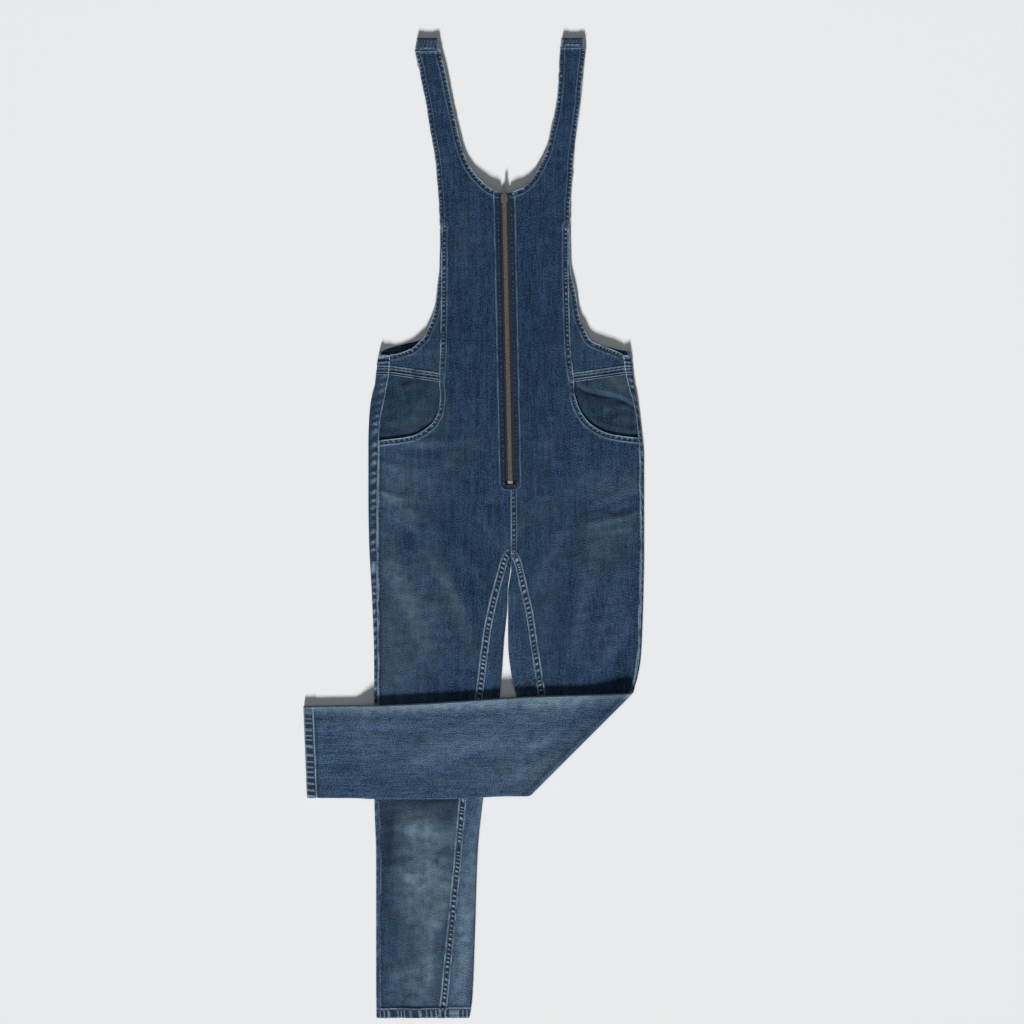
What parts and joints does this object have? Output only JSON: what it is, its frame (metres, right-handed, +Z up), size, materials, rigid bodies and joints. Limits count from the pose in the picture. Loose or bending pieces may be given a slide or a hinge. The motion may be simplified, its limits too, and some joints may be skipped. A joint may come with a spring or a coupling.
{
  "type": "denim dungarees laid flat",
  "caption": "Sleeveless denim dungarees with a long front zip and curved side pockets, laid flat on their back with one lower leg folded across the other.",
  "frame": {"origin": "middle of the floor rectangle under the whole garment as it lies", "axes": "+Y from the hem to the shoulders, +Z up from the floor the garment lies on, +X to the wearer's left"},
  "size_m": [0.5036, 1.45, 0.0149],
  "materials": {
    "denim_front": "washed mid-blue denim twill with vertical slub streaks and faded seam edges",
    "denim_back": "washed mid-blue denim twill, paler where worn",
    "denim_facing": "less worn, darker denim twill",
    "zip_tape": "dark woven tape",
    "zip_brass": "aged brass teeth",
    "zip_metal": "worn nickel plate"
  },
  "bodies": {
    "garment": {"front_right": "denim_front", "front_left": "denim_front", "side_front_right": "denim_front", "side_front_left": "denim_front", "waist_strip_right": "denim_front", "waist_strip_left": "denim_front", "pocket_back_right": "denim_facing", "pocket_back_left": "denim_facing", "back_leg_right": "denim_back", "back_leg_left": "denim_back", "back_bib": "denim_back", "back_waist_strip": "denim_back", "zip_tape_right": "zip_tape", "zip_tape_left": "zip_tape", "zip_teeth_right": "zip_brass", "zip_teeth_left": "zip_brass", "zip_top_stop_right": "zip_brass", "zip_top_stop_left": "zip_brass", "zip_bottom_stop": "zip_metal", "zip_slider": "zip_metal"},
    "pull": {"zip_pull": "zip_metal"}
  },
  "joints": [
    {"name": "zip_pull_swing", "type": "hinge", "parent": "garment", "child": "pull", "pos_m": [0.0457, 0.488, 0.0076], "axis": [1, 0, 0], "range_deg": [0, 172]}
  ]
}
